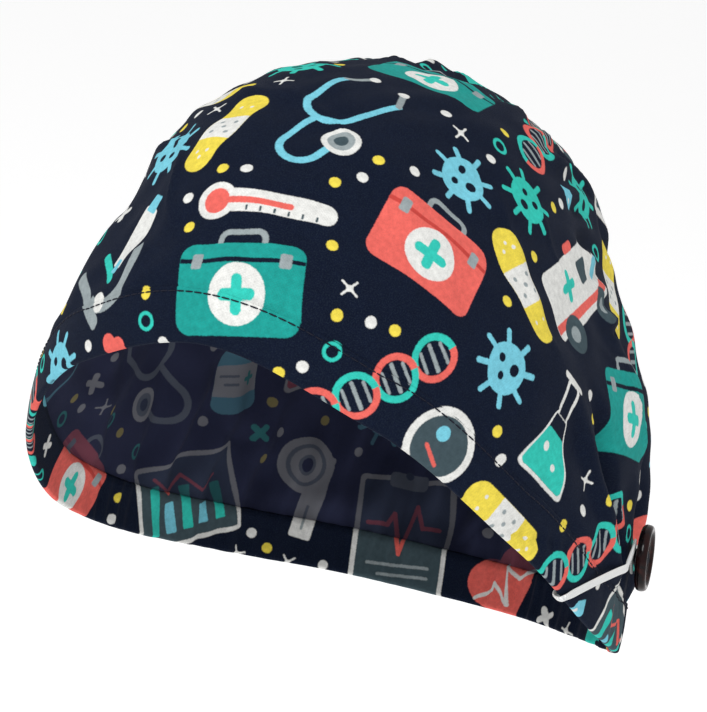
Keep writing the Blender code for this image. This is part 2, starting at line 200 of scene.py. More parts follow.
# a smooth random field of about -1 to 1, with swells about `size` across
def wander(points, size, seed, waves=16, spread=(0.6, 1.5)):
    random = np.random.default_rng(seed)
    total = 0
    for _ in range(waves):
        direction = unit(random.normal(size=3)) * random.uniform(*spread) * 2 * pi / size
        total = total + np.sin(points @ direction + random.uniform(0, 2 * pi))
    return total / np.sqrt(waves)


buttonHeight = band["height"] + button["diameter"] / 2 + button["aboveBand"]
buttonWay = waysAboveHem(np.array([float(button["angle"])]), [buttonHeight])[0, 0]


def singleFolds(angle, way):
    total = 0
    for footAngle, footWay, headAngle, headWay, width, depth in folds:
        along = (way - footWay) / (headWay - footWay)
        away = wrapped(angle - footAngle - (headAngle - footAngle) * along)
        away = np.radians(away) * opening["halfWidth"]
        fade = ease(along, *crown["foldGrow"]) * (1 - ease(along, *crown["foldFade"]))
        total = total + depth * fade * bell(away / (crown["foldHalfWidth"] * width))
    return crown["foldDepth"] * total


def gathers(angle, way, seam):
    rear = ease(np.abs(angle), gathering["from"], gathering["full"])
    held = gathering["heldByHem"]
    free = held + (1 - held) * ease(way, seam, seam + gathering["growOver"])
    count = round(2 * pi * opening["back"] / gathering["spacing"])
    close = np.cos(np.radians(count * angle) + gathering["closeStray"] * np.sin(np.radians(3 * angle)))
    stray = gathering["broadStray"] * np.sin(np.radians(2 * angle)) + gathering["broadLean"] * way
    broad = np.cos(np.radians(count / 2 * angle) + stray)
    closeShare = 1 - ease(way, *gathering["closeFade"])
    broadShare = ease(way, *gathering["broadGrow"]) * (1 - ease(way, *gathering["broadFade"]))
    broadShare = gathering["broadShare"] * broadShare
    return gathering["depth"] * rear * free * (close * closeShare + broad * broadShare)


def fineGathers(angle, way, seam, depth, spacing):
    rear = ease(np.abs(angle), gathering["from"] - tucks["before"], gathering["full"])
    turns = np.radians(round(2 * pi * opening["back"] / spacing) * angle)
    for size, count in tucks["strays"]:
        turns = turns + size * np.sin(np.radians(count * angle))
    uneven = np.sin(np.radians(tucks["unevenTurns"] * angle) + tucks["unevenStart"])
    uneven = tucks["even"] + (1 - tucks["even"]) * uneven
    return depth * rear * uneven * np.sin(turns) * (1 - ease(way, seam, seam + tucks["reach"]))


def puckers(points):
    behind = (points[..., 1] - puckering["setback"]) / puckering["reach"]
    across = np.arctan2(points[..., 0], crown["rise"] + points[..., 2]) * 2 * crown["rise"]
    turns = across / puckering["spacing"]
    waves = np.sin(2 * pi * turns + puckering["stray"] * np.sin(turns))
    return np.where(points[..., 2] > 0, puckering["depth"] * waves * bell(behind), 0)


# the cloth is pulled flat round each button
def calmByButton(angle, points):
    left, right = (smoothPoint(side * button["angle"], buttonWay) for side in (1, -1))
    foot = np.where((angle > 0)[..., None], left, right)
    return 1 - bell(np.linalg.norm(points - foot, axis=-1) / button["calm"])


def rumples(points):
    seed = wear["seed"]
    swells = wear["swellDepth"] * wander(points, wear["swellSize"], seed)
    short = wear["rumpleDepth"] * wander(points, wear["rumpleSize"], seed + 1)
    ridge = np.exp(-(wander(points, wear["creaseSize"], seed + 2) / wear["creaseSharp"]) ** 2)
    where = np.clip(wander(points, wear["creaseSize"] * wear["creaseSpread"], seed + 3), 0, 1)
    return swells + short + wear["creaseDepth"] * ridge * where


def clothHeight(angle, way, seam, points):
    waves = gathers(angle, way, seam) + singleFolds(angle, way)
    waves = waves + fineGathers(angle, way, seam, tucks["depth"], tucks["spacing"])
    waves = waves * (1 - ease(way, crown["smoothFrom"], 1.0)) + puckers(points)
    waves = waves + rumples(points) * ease(way, seam, seam + wear["growOver"])
    pulledIn = crown["sunkAtSeam"] * (1 - ease(way, seam, seam + crown["sunkOver"]))
    return (waves - pulledIn) * calmByButton(angle, points)


def crownPoint(angle, way, seam, depth=0.0):
    points = smoothPoint(angle, way)
    height = clothHeight(angle, way, seam, points) - depth
    return points + outward(angle, way) * height[..., None]


def bandPoint(angle, height, depth):
    ways = waysAboveHem(angle, height)
    seam = waysAboveHem(angle, [band["height"]])
    angle = angle[:, None]
    points = smoothPoint(angle, ways)
    ripple = singleFolds(angle, ways) + gathers(angle, ways, seam)
    ripple = ripple + fineGathers(angle, 0, seam, band["rippleDepth"], band["rippleSpacing"])
    share = np.asarray(height) / band["height"]
    puff = band["puff"] * bell((share - band["puffMiddle"]) / band["puffReach"])
    lift = ripple * calmByButton(angle, points) + band["proud"] + puff - np.asarray(depth)
    return points + outward(angle, ways) * lift[..., None]


# ---- print on the cloth
print("print on the cloth")
mm = 0.001
solid = 1000.0   # a line this wide fills its shape
uncut = -1000.0

inkColors = {
    "navy": "#0d1426", "teal": "#35c9b8", "deepTeal": "#1f9c93", "blue": "#7accdf", "coral": "#ec6a60",
    "red": "#c9473f", "white": "#e8e8e4", "yellow": "#f0da50", "grey": "#9aa4a6", "slate": "#435359",
}


def linear(name):
    parts = [int(inkColors[name][k:k + 2], 16) / 255 for k in (1, 3, 5)]
    return tuple(((p + 0.055) / 1.055) ** 2.4 if p > 0.04045 else p / 12.92 for p in parts) + (1.0,)


# shapes in units of the print: a shape is kept above `cut` on its own turned axis
def box(x, y, width, height, ink, corner=0.5, turn=0, taper=0, line=solid, cut=uncut):
    return (x, y, width / 2, height / 2, corner, turn, taper, line, cut, ink)


def spot(x, y, radius, ink, turn=0, line=solid, cut=uncut):
    return (x, y, radius, radius, radius, turn, 0, line, cut, ink)


def spots(x, y, *circles):
    return [spot(x, y, radius, ink) for radius, ink in circles]


def bar(x1, y1, x2, y2, width, ink):
    length = np.hypot(x2 - x1, y2 - y1)
    turn = np.degrees(np.arctan2(y2 - y1, x2 - x1))
    return box((x1 + x2) / 2, (y1 + y2) / 2, length + width, width, ink, corner=width / 2, turn=turn)


def bars(points, width, ink):
    return [bar(*a, *b, width, ink) for a, b in zip(points, points[1:])]


def plus(x, y, size, width, ink):
    return [bar(x - size, y, x + size, y, width, ink), bar(x, y - size, x, y + size, width, ink)]


def moved(rows, x, y):
    return [(row[0] + x, row[1] + y, *row[2:]) for row in rows]


def clipboard():
    rows = [box(0, 0, 25, 31, "white", corner=1.6), box(0, 0, 22.4, 28.4, "slate", corner=0.8)]
    rows += [box(0, 14.6, 10, 4, "grey", corner=1.2), spot(0, 16.2, 1.0, "slate")]
    rows += bars(((-9.2, 3), (-5, 3), (-3, 8.5), (0.2, -4), (2.6, 6), (4.2, 3), (9.2, 3)), 1.1, "coral")
    return rows + [bar(-8, -7, 8, -7, 0.8, "grey"), bar(-8, -9.6, 5, -9.6, 0.8, "grey")]


def chart():
    rows = [box(0, 0, 31, 23, "white", corner=0.9), box(0, 0, 28.6, 20.6, "slate", corner=0.5)]
    for x, top in ((-10, 1.5), (-5, -2.0), (0, 3.5), (5, 0.5), (10, 6.0)):
        rows.append(box(x, (top - 7.6) / 2, 2.8, top + 7.6, "blue" if x % 2 else "teal", corner=0.4))
    return rows + bars(((-10, 3.5), (-5, 1), (0, 6), (5, 3), (10, 8)), 0.8, "coral")


def firstAidBag(case="coral", shade="red"):
    rows = [box(0, 9.6, 11, 6.5, "grey", corner=2.6, line=1.3), box(0, 0, 27, 19, case, corner=3.2)]
    rows += [box(0, 5.6, 27, 1.0, shade, corner=0.3), spot(0, -1.2, 6.2, "white")]
    rows += plus(0, -1.2, 2.9, 2.4, "teal")
    return rows + [box(x, 5.6, 2.4, 3.4, "grey", corner=0.5) for x in (-9.6, 9.6)]


def stethoscope(tube="blue"):
    rows = [spot(0, 5, 7.2, tube, turn=180, line=1.7, cut=0)]
    rows += [bar(-6.4, 5, -7.6, 17, 1.7, tube), bar(6.4, 5, 7.6, 17, 1.7, tube)]
    rows += [bar(-7.6, 17, -4.6, 22, 1.5, "grey"), bar(7.6, 17, 4.6, 22, 1.5, "grey")]
    rows += [spot(-4.2, 22.6, 1.3, "white"), spot(4.2, 22.6, 1.3, "white"), bar(0, -2, 0, -11, 1.7, tube)]
    rows += [spot(5, -11, 5.85, tube, turn=180, line=1.7, cut=0), bar(10, -11, 10, -7.5, 1.7, tube)]
    rows += spots(10, -4, (4.4, "white"), (3.0, "grey"), (1.6, "slate"))
    return moved(rows, -3.0, -3.2)


def pulseHeart(skin="coral"):
    rows = [spot(-4.4, 3.6, 5.9, skin), spot(4.4, 3.6, 5.9, skin)]
    rows += [box(0, -0.9, 12.2, 12.2, skin, corner=0.8, turn=45)]
    pulse = ((-9.4, 1.2), (-4.6, 1.2), (-2.4, 5.2), (0.4, -4.2), (2.6, 2.6), (3.8, 1.2), (9.4, 1.2))
    return rows + bars(pulse, 1.0, "white")


def flask(liquid="teal"):
    rows = [box(0, -3.5, 13, 17, "white", corner=1.6, taper=0.58, line=1.0)]
    rows += [box(0, -5.4, 13.4, 11.2, liquid, corner=1.4, turn=180, taper=-0.36)]
    rows += [box(0, 8.4, 5.6, 8.4, "white", corner=1.6, line=1.0), box(0, 5.4, 3.6, 2.4, "navy", corner=0.2)]
    rows += [bar(-3.8, 12.6, 3.8, 12.6, 1.5, "white"), spot(-2.2, -4, 1.1, "white")]
    return rows + [spot(2.4, -7, 0.8, "white")]


def testTube(liquid="coral"):
    rows = [box(0, 0, 7.4, 27, "white", corner=3.6, line=0.9), box(0, -3.4, 4.8, 18.4, liquid, corner=2.3)]
    return rows + [bar(-4.4, 13.4, 4.4, 13.4, 1.6, "white"), bar(-1.3, -1, -1.3, 3.4, 0.7, "white")]


def thermometer():
    rows = [box(0, 2.5, 5.4, 25, "white", corner=2.6)] + spots(0, -11, (4.4, "white"), (2.9, "coral"))
    rows += [bar(0, -11, 0, 5, 1.5, "coral")]
    return rows + [bar(1.4, y, 2.2, y, 0.5, "slate") for y in (-4, -1, 2, 5, 8, 11)]


def plaster(cloth="yellow"):
    rows = [box(0, 0, 8.6, 27, cloth, corner=4.2), box(0, 0, 8.6, 8.6, "white", corner=0.4)]
    rows += [spot(x, y, 0.55, "grey") for x, y in ((-2, 2), (2, 2), (0, 0), (-2, -2), (2, -2))]
    holes = ((-1.6, 8.4), (1.6, 8.4), (0, 10), (-1.6, -8.4), (1.6, -8.4))
    return rows + [spot(x, y, 0.45, "white") for x, y in holes]


def reflexHammer():
    rows = [bar(0, -13, 0, 9, 1.9, "grey"), bar(0, -13, 0, -7, 3.0, "white")]
    rows += [box(0, 10, 12.4, 5.4, "coral", corner=2.2)]
    return rows + [bar(x, 8.4, x, 11.6, 0.8, "white") for x in (-3.4, 3.4)]


def microscope():
    rows = [box(0, -12.4, 19, 3.0, "grey", corner=1.2), spot(2, -3, 9.6, "grey", turn=-90, line=2.6, cut=1.0)]
    rows += [bar(-7, -4.6, 4, -4.6, 1.8, "teal"), box(-1.6, 4.6, 6.0, 15, "white", corner=0.8, turn=22)]
    rows += [box(-4.8, 12.4, 4.2, 4.2, "blue", corner=0.6, turn=22)]
    return rows + [box(1.0, -2.2, 3.2, 3.6, "blue", corner=0.6, turn=22), spot(6.6, -9.0, 2.0, "white")]


def helix():
    rows = []
    for number, y in enumerate((-18, -9, 0, 9, 18)):
        strands = (("teal", 90), ("coral", -90)) if number % 2 else (("teal", -90), ("coral", 90))
        rows += [bar(-2.9, y, 2.9, y, 0.9, "grey")]
        rows += [bar(-2.2, y + rung, 2.2, y + rung, 0.7, "grey") for rung in (2.4, -2.4)]
        rows += [spot(0, y, 5.1, ink, turn=turn, line=1.5, cut=0) for ink, turn in strands]
    return rows


def magnifier():
    rows = [bar(0, -4, 0, -13, 3.0, "teal")] + spots(0, 5, (8.4, "white"), (6.7, "slate"))
    return rows + [spot(-1.8, 7.2, 1.7, "blue"), bar(-2.4, 3.0, 2.6, 1.8, 0.9, "coral")]


def tooth():
    rows = [box(side * 3.7, -4.2, 5.4, 13, "white", corner=2.6, turn=side * 7) for side in (-1, 1)]
    rows += [box(0, 3.6, 15.4, 10.6, "white", corner=4.6), spot(-3.6, 4.8, 1.5, "blue")]
    return rows + [bar(2.6, 7.0, 5.0, 6.0, 0.8, "grey")]


def germ(skin="teal"):
    reach = ((8, 0), (5.7, 5.7), (0, 8), (-5.7, 5.7))
    rows = [bar(x, y, -x, -y, 1.3, skin) for x, y in reach] + [spot(0, 0, 5.6, skin)]
    return rows + [spot(-1.9, 1.7, 1.3, "navy"), spot(2.0, 0.4, 0.9, "navy"), spot(-0.3, -2.6, 1.0, "navy")]


def medicineBottle(glass="coral"):
    rows = [box(0, -2.4, 14, 18, glass, corner=2.6), box(0, 9.4, 10.4, 5.0, "white", corner=0.9)]
    rows += [box(0, -2.8, 14, 8.4, "white", corner=0.2)] + plus(-3.4, -2.8, 1.4, 1.2, "teal")
    return rows + [bar(0.6, -1.6, 5.2, -1.6, 0.7, "grey"), bar(0.6, -3.8, 4.0, -3.8, 0.7, "grey")]


def ambulance():
    rows = [box(-4, 1.6, 33, 16, "white", corner=1.8), box(14, -0.8, 13, 11.2, "white", corner=2.2)]
    rows += [box(14.4, 1.8, 7.4, 5.0, "blue", corner=1.0), box(0, -3.6, 40.6, 2.2, "coral", corner=0.2)]
    rows += plus(-8, 3.2, 2.7, 2.2, "teal") + [box(3.4, 3.6, 5.4, 5.4, "slate", corner=0.8)]
    rows += [box(-2, 10.6, 5, 2.4, "coral", corner=1.0)]
    wheel = ((4.5, "slate"), (1.9, "grey"))
    return rows + spots(-12, -7, *wheel) + spots(11, -7, *wheel)


def gauzeRoll():
    rows = [box(1.2, -2.6, 22, 6, "white", corner=0.6)]
    rows += spots(-6, 1.6, (7.4, "white"), (5.6, "grey"), (4.6, "white"), (2.8, "grey"), (1.9, "navy"))
    return rows + [bar(4, -2.6, 9.6, -2.6, 0.7, "grey")]


def smallHeart(skin="coral"):
    lobes = [spot(x, 1.2, 2.0, skin) for x in (-1.5, 1.5)]
    return lobes + [box(0, -0.3, 4.2, 4.2, skin, corner=0.3, turn=45)]


def drop(skin="blue"):
    rows = [spot(0, -0.9, 2.5, skin), box(0, 0.3, 3.5, 3.5, skin, corner=0.2, turn=45)]
    return rows + [spot(-0.9, -1.3, 0.6, "white")]


def smallPlus(skin="white"):
    return plus(0, 0, 2.1, 1.6, skin)


def sparkle():
    return [box(0, 0, 1.5, 1.5, "white", corner=0.1, turn=45)] + plus(0, 0, 2.2, 0.5, "white")


def ringDot(skin="teal"):
    return [spot(0, 0, 2.1, skin, line=0.8)]


def dot(skin="white"):
    return [spot(0, 0, 1.3, skin)]


# for each size class: name, rows, how far the end circles of its footprint stand from the middle,
# and whether it stays upright
kinds = {
    "large": (
        ("ambulance", ambulance(), (11, 0), True),
        ("stethoscope", stethoscope(), (0, 11), False),
        ("stethoscopeGrey", stethoscope("grey"), (0, 11), False),
        ("clipboard", clipboard(), (0, 5), True),
        ("chart", chart(), (6, 0), True),
        ("helix", helix(), (0, 17), False),
        ("bagCoral", firstAidBag(), (5, 0), True),
        ("bagTeal", firstAidBag("deepTeal", "navy"), (5, 0), True),
        ("microscope", microscope(), (0, 4), True)),
    "medium": (
        ("gauzeRoll", gauzeRoll(), (5, 0), False),
        ("heart", pulseHeart(), (0, 0), True),
        ("flask", flask(), (0, 5.5), True),
        ("flaskCoral", flask("coral"), (0, 5.5), True),
        ("magnifier", magnifier(), (0, 6), False),
        ("bottle", medicineBottle(), (0, 4.5), True),
        ("bottleBlue", medicineBottle("blue"), (0, 4.5), True),
        ("tooth", tooth(), (0, 2), True),
        ("germ", germ(), (0, 0), False),
        ("germBlue", germ("blue"), (0, 0), False)),
    "slim": (
        ("thermometer", thermometer(), (0, 11), False),
        ("reflexHammer", reflexHammer(), (0, 10), False),
        ("plaster", plaster(), (0, 9.4), False),
        ("testTube", testTube(), (0, 10), False),
        ("testTubeTeal", testTube("teal"), (0, 10), False)),
    "small": (
        ("smallHeart", smallHeart(), (0, 0), True),
        ("drop", drop(), (0, 0), True),
        ("smallPlus", smallPlus(), (0, 0), False),
        ("smallPlusTeal", smallPlus("teal"), (0, 0), False),
        ("ringDot", ringDot(), (0, 0), False),
        ("sparkle", sparkle(), (0, 0), False),
        ("dot", dot(), (0, 0), False),
        ("dotYellow", dot("yellow"), (0, 0), False)),
}
motifs = [motif for group in kinds.values() for motif in group]
# the most motifs of each class, and the least distance between two of a kind
classes = {"large": (27, 0.060), "medium": (64, 0.040), "slim": (80, 0.030), "small": (420, 0.015)}
printLayout = {
    "seed": 41, "unit": 0.00125, "gap": 1.5, "margin": 0.4, "tilt": 34, "backLean": 0.35, "bend": 0.085,
    "candidates": 60000, "turns": 6, "shuffling": 0.9, "farAway": 1.0, "block": 3000,
}
armShares = np.array([-1, -0.5, 0, 0.5, 1])
printAxes, weaveAxes = ("across", "along"), ("weft", "warp")


# how far the ink stands from the middles of its footprint's circles
def inkReach(rows, spread):
    reach = 0
    for x, y, halfWidth, halfHeight, corner, turn, taper, _, cut, _ in rows:
        for sideX, sideY in ((-1, -1), (-1, 1), (1, -1), (1, 1)):
            localX = sideX * (halfWidth * (1 - taper * sideY) - corner)
            localY = max(sideY * (halfHeight - corner), cut)
            c, s = np.cos(radians(turn)), np.sin(radians(turn))
            point = np.array([x + localX * c - localY * s, y + localX * s + localY * c])
            circles = armShares[:, None] * np.array(spread)
            reach = max(reach, np.linalg.norm(circles - point, axis=1).min() + corner)
    return reach


# places the motifs of one class after another, each in a gap that the ones before leave
def scatterMotifs():
    random, unitSize = np.random.default_rng(printLayout["seed"]), printLayout["unit"]
    angles = random.uniform(-180, 180, printLayout["candidates"])
    ways = random.uniform(0, 1, printLayout["candidates"])
    # fewer candidates where the columns run together at the top
    keep = random.uniform(0, 1, printLayout["candidates"]) < section("halfWidth", ways)
    places, normals = smoothPoint(angles, ways)[keep], outward(angles, ways)[keep]
    lean = np.array([0, printLayout["backLean"], 1.0])
    uprights = unit(lean - normals * (normals @ lean)[:, None])
    rights = np.cross(uprights, normals)
    reaches = np.array([inkReach(rows, spread) for _, rows, spread, _ in motifs])
    reaches = (reaches + printLayout["margin"]) * unitSize
    gap = printLayout["gap"] * unitSize
    clearance = np.full(len(places), printLayout["farAway"])
    used = np.zeros(len(motifs))
    centres, radii, owners, sites = np.zeros((0, 3)), np.zeros(0), np.zeros(0, int), []
    for group, (most, apart) in classes.items():
        members = [k for k, motif in enumerate(motifs) if motif in kinds[group]]
        free = np.flatnonzero(clearance > reaches[members].min() + gap)
        random.shuffle(free)
        made = 0
        for here in free:
            if made >= most:
                break
            # the kinds that were used least come first
            for kind in sorted(members, key=lambda k: used[k] + random.uniform(0, printLayout["shuffling"])):
                if clearance[here] < reaches[kind] + gap:
                    continue
                alike = [np.linalg.norm(site[1] - places[here]) for site in sites if site[0] == kind]
                if alike and min(alike) < apart:
                    continue
                _, _, spread, upright = motifs[kind]
                mostTilt = printLayout["tilt"] if upright else 180
                for turn in np.radians(random.uniform(-1, 1, printLayout["turns"]) * mostTilt):
                    across = rights[here] * np.cos(turn) + uprights[here] * np.sin(turn)
                    along = uprights[here] * np.cos(turn) - rights[here] * np.sin(turn)
                    arms = (across * spread[0] + along * spread[1]) * unitSize * armShares[:, None]
                    # the circles lie on the curved cloth, under the flat of the motif
                    sunk = (arms**2).sum(-1, keepdims=True) / (2 * printLayout["bend"])
                    footprint = places[here] + arms - normals[here] * sunk
                    away = np.linalg.norm(centres[None] - footprint[:, None], axis=-1)
                    clear = away - radii - reaches[kind]
                    if not clear.size or clear.min() > gap:
                        break
                else:
                    continue
                centres = np.concatenate([centres, footprint])
                radii = np.concatenate([radii, np.full(len(armShares), reaches[kind])])
                owners = np.concatenate([owners, np.full(len(armShares), len(sites))])
                sites.append((kind, places[here], across, along, rights[here], uprights[here]))
                for middle in footprint:
                    clearance = np.minimum(clearance, np.linalg.norm(places - middle, axis=1) - reaches[kind])
                used[kind] += 1
                made += 1
                break
        print(group, "motifs placed:", made)
    found = {"centres": centres, "radii": radii, "owners": owners}
    for name, part in zip(("kinds", "origins", *printAxes, *weaveAxes), zip(*sites)):
        found[name] = np.array(part)
    return found


layout = scatterMotifs()


def nearestSites(points):
    found = []
    for start in range(0, len(points), printLayout["block"]):
        part = points[start:start + printLayout["block"]]
        gaps = np.linalg.norm(part[:, None] - layout["centres"][None], axis=-1) - layout["radii"]
        found.append(layout["owners"][gaps.argmin(1)])
    return np.concatenate(found)


def cornerPoints(mesh):
    corners = np.empty(len(mesh.loops), int)
    mesh.loops.foreach_get("vertex_index", corners)
    return corners


def addCoordinates(mesh, name, flat):
    mesh.uv_layers.new(name=name).data.foreach_set("uv", flat.astype(np.float32).ravel())


# gives each face to its nearest motif, with print coordinates in units of the print and weave
# coordinates in millimetres
def layPrint(mesh, flatPoints, insideFaces, shift=(0, 0, 0)):
    sizes = np.empty(len(mesh.polygons), int)
    mesh.polygons.foreach_get("loop_total", sizes)
    places = flatPoints[cornerPoints(mesh)] + np.array(shift)
    starts = np.concatenate([[0], sizes.cumsum()[:-1]])
    site = nearestSites(np.add.reduceat(places, starts) / sizes[:, None])
    owner = np.repeat(site, sizes)
    away = places - layout["origins"][owner]
    for name, axes, size in (("print", printAxes, printLayout["unit"]), ("weave", weaveAxes, mm)):
        flat = np.stack([(away * layout[axis][owner]).sum(-1) for axis in axes], -1)
        addCoordinates(mesh, name, flat / size)
    mesh.attributes.new("inside", "FLOAT", "FACE").data.foreach_set("value", insideFaces.astype(np.float32))
    mesh.polygons.foreach_set("material_index", layout["kinds"][site].astype(np.int32))


def fillInputs(tree, node, values):
    for socket, value in dict(values).items():
        if isinstance(value, bpy.types.NodeSocket):
            tree.links.new(value, node.inputs[socket])
        else:
            node.inputs[socket].default_value = value
    return node


def addNode(tree, kind, inputs=(), **settings):
    made = tree.nodes.new(kind)
    for name, value in settings.items():
        setattr(made, name, value)
    return fillInputs(tree, made, inputs)


def addGroup(tree, group, inputs):
    return addNode(tree, "ShaderNodeGroup", inputs, node_tree=group).outputs


def mathNode(tree, operation, *values, clamp=False):
    inputs = dict(enumerate(values))
    return addNode(tree, "ShaderNodeMath", inputs, operation=operation, use_clamp=clamp).outputs[0]


def vectorNode(tree, operation, *values, output="Vector"):
    inputs = dict(enumerate(values))
    return addNode(tree, "ShaderNodeVectorMath", inputs, operation=operation).outputs[output]


def mixNode(tree, factor, under, over, blend="MIX"):
    inputs = {0: factor, 6: under, 7: over}
    return addNode(tree, "ShaderNodeMix", inputs, data_type="RGBA", blend_type=blend).outputs[2]


def noiseNode(tree, place, scale, detail=2.0, distortion=0.0):
    inputs = {"Vector": place, "Scale": scale, "Detail": detail, "Distortion": distortion}
    return addNode(tree, "ShaderNodeTexNoise", inputs).outputs


def bumpNode(tree, strength, depth, height):
    inputs = {"Strength": strength, "Distance": depth, "Height": height}
    return addNode(tree, "ShaderNodeBump", inputs).outputs["Normal"]


def makeGroup(name, inputs, outputs):
    tree = bpy.data.node_groups.new(name, "ShaderNodeTree")
    for direction, sockets in (("INPUT", inputs), ("OUTPUT", outputs)):
        for socketName, kind in sockets.items():
            tree.interface.new_socket(socketName, in_out=direction, socket_type="NodeSocket" + kind)
    return tree, tree.nodes.new("NodeGroupInput").outputs, tree.nodes.new("NodeGroupOutput").inputs


inkEdge = {"softness": 0.28, "leastWidth": 0.05}


# paints one rounded, turned, tapered shape over the colour under it
def makeShapeGroup():
    inputs = {"Place": "Vector", "Under": "Color", "Ink": "Color", "Centre": "Vector", "Half": "Vector"}
    inputs.update(dict.fromkeys(("Corner", "Turn", "Taper", "Line", "Cut"), "Float"))
    tree, given, result = makeGroup("printShape", inputs, {"Color": "Color"})
    math, vector = partial(mathNode, tree), partial(vectorNode, tree)

    def split(value):
        return addNode(tree, "ShaderNodeSeparateXYZ", {0: value}).outputs

    def flatVector(x, y):
        return addNode(tree, "ShaderNodeCombineXYZ", {"X": x, "Y": y}).outputs[0]

    away = vector("SUBTRACT", given["Place"], given["Centre"])
    turnBack = {"Vector": away, "Angle": math("MULTIPLY", given["Turn"], -1.0)}
    local = split(addNode(tree, "ShaderNodeVectorRotate", turnBack, rotation_type="Z_AXIS").outputs[0])
    climb = math("DIVIDE", local["Y"], split(given["Half"])["Y"])
    width = math("SUBTRACT", 1.0, math("MULTIPLY", climb, given["Taper"]))
    width = math("MAXIMUM", width, inkEdge["leastWidth"])
    straight = flatVector(math("DIVIDE", local["X"], width), local["Y"])
    core = vector("SUBTRACT", given["Half"], flatVector(given["Corner"], given["Corner"]))
    beyond = vector("MAXIMUM", vector("SUBTRACT", vector("ABSOLUTE", straight), core), (0, 0, 0))
    away = math("SUBTRACT", vector("LENGTH", beyond, output="Value"), given["Corner"])
    halfLine = math("MULTIPLY", given["Line"], 0.5)
    away = math("SUBTRACT", math("ABSOLUTE", math("ADD", away, halfLine)), halfLine)
    away = math("MAXIMUM", away, math("SUBTRACT", given["Cut"], local["Y"]))
    mask = math("SUBTRACT", 0.5, math("DIVIDE", away, inkEdge["softness"]), clamp=True)
    tree.links.new(mixNode(tree, mask, given["Under"], given["Ink"]), result["Color"])
    return tree


cottonLook = {
    "yarnScale": 0.85, "yarnStray": 0.6, "yarnShade": 0.22, "raggedScale": 1.9, "ragged": (0.34, 0.34, 0.0),
    "speckleScale": 2.6, "speckleFrom": 0.46, "speckleGain": 5.0, "speckleAndThreadShade": 0.12,
    "mottleScale": 0.60, "mottle": (0.70, 0.54), "cloudScale": 0.09, "cloud": (0.86, 0.28),
    "ghost": 0.86, "ghostColor": (0.020, 0.023, 0.050, 1.0), "roughScale": 0.8, "rough": (0.80, 0.14),
    "fuzzScale": 1.1, "fuzz": 0.9, "bump": (0.30, 0.00016),
    "specular": 0.05, "sheen": 0.02, "sheenRough": 0.45, "sheenTint": (0.75, 0.80, 1.0, 1.0),
}


# what every printed face shares: yarns, slate speckle that is partly flecks of pigment and partly painted
# shadow between the threads, mottling, the darker reverse and the bump
def makeCottonGroup():
    outputs = {"Color": "Color", "Roughness": "Float", "Normal": "Vector"}
    tree, given, result = makeGroup("cotton", {"Print": "Color", "Weave": "Vector"}, outputs)
    math = partial(mathNode, tree)

    def yarns(direction):
        inputs = {"Vector": given["Weave"], "Scale": cottonLook["yarnScale"], "Detail": 1.0,
                  "Distortion": cottonLook["yarnStray"], "Detail Scale": 1.4}
        return addNode(tree, "ShaderNodeTexWave", inputs, bands_direction=direction).outputs["Fac"]

    def noise(scale, detail=2.0):
        return noiseNode(tree, given["Weave"], cottonLook[scale], detail)["Fac"]

    def ranged(least, span, value):
        return math("ADD", least, math("MULTIPLY", value, span))

    weave = math("MULTIPLY", math("ADD", yarns("X"), yarns("Y")), 0.5)
    # slate speckle over the print: partly flecks of pigment, partly painted shadow between the threads
    speckleAndThreadShade = math("SUBTRACT", noise("speckleScale", 3.0), cottonLook["speckleFrom"])
    speckleAndThreadShade = math("MULTIPLY", speckleAndThreadShade, cottonLook["speckleGain"], clamp=True)
    flecked = mixNode(tree, math("MULTIPLY", speckleAndThreadShade, cottonLook["speckleAndThreadShade"]), given["Print"], linear("slate"))
    mottled = ranged(*cottonLook["mottle"], noise("mottleScale", 4.0))
    cloudy = math("MULTIPLY", mottled, ranged(*cottonLook["cloud"], noise("cloudScale")))
    grey = addNode(tree, "ShaderNodeCombineColor", {0: cloudy, 1: cloudy, 2: cloudy}).outputs[0]
    shaded = mixNode(tree, 1.0, flecked, grey, "MULTIPLY")
    between = math("MULTIPLY", math("SUBTRACT", 1.0, weave), cottonLook["yarnShade"])
    woven = mixNode(tree, between, shaded, linear("navy"))
    ghost = mixNode(tree, cottonLook["ghost"], given["Print"], cottonLook["ghostColor"])
    inside = addNode(tree, "ShaderNodeAttribute", attribute_name="inside").outputs["Fac"]
    tree.links.new(mixNode(tree, inside, woven, ghost), result["Color"])
    tree.links.new(ranged(*cottonLook["rough"], noise("roughScale")), result["Roughness"])
    height = math("ADD", weave, math("MULTIPLY", noise("fuzzScale", 4.0), cottonLook["fuzz"]))
    tree.links.new(bumpNode(tree, *cottonLook["bump"], height), result["Normal"])
    return tree


def plainMaterial(name, sockets):
    material = bpy.data.materials.new(name)
    material.use_nodes = True
    tree = material.node_tree
    shader = tree.nodes["Principled BSDF"]
    for socket, value in sockets.items():
        shader.inputs[socket].default_value = value
    return material, tree, shader


shapeGroup = makeShapeGroup()
cottonGroup = makeCottonGroup()


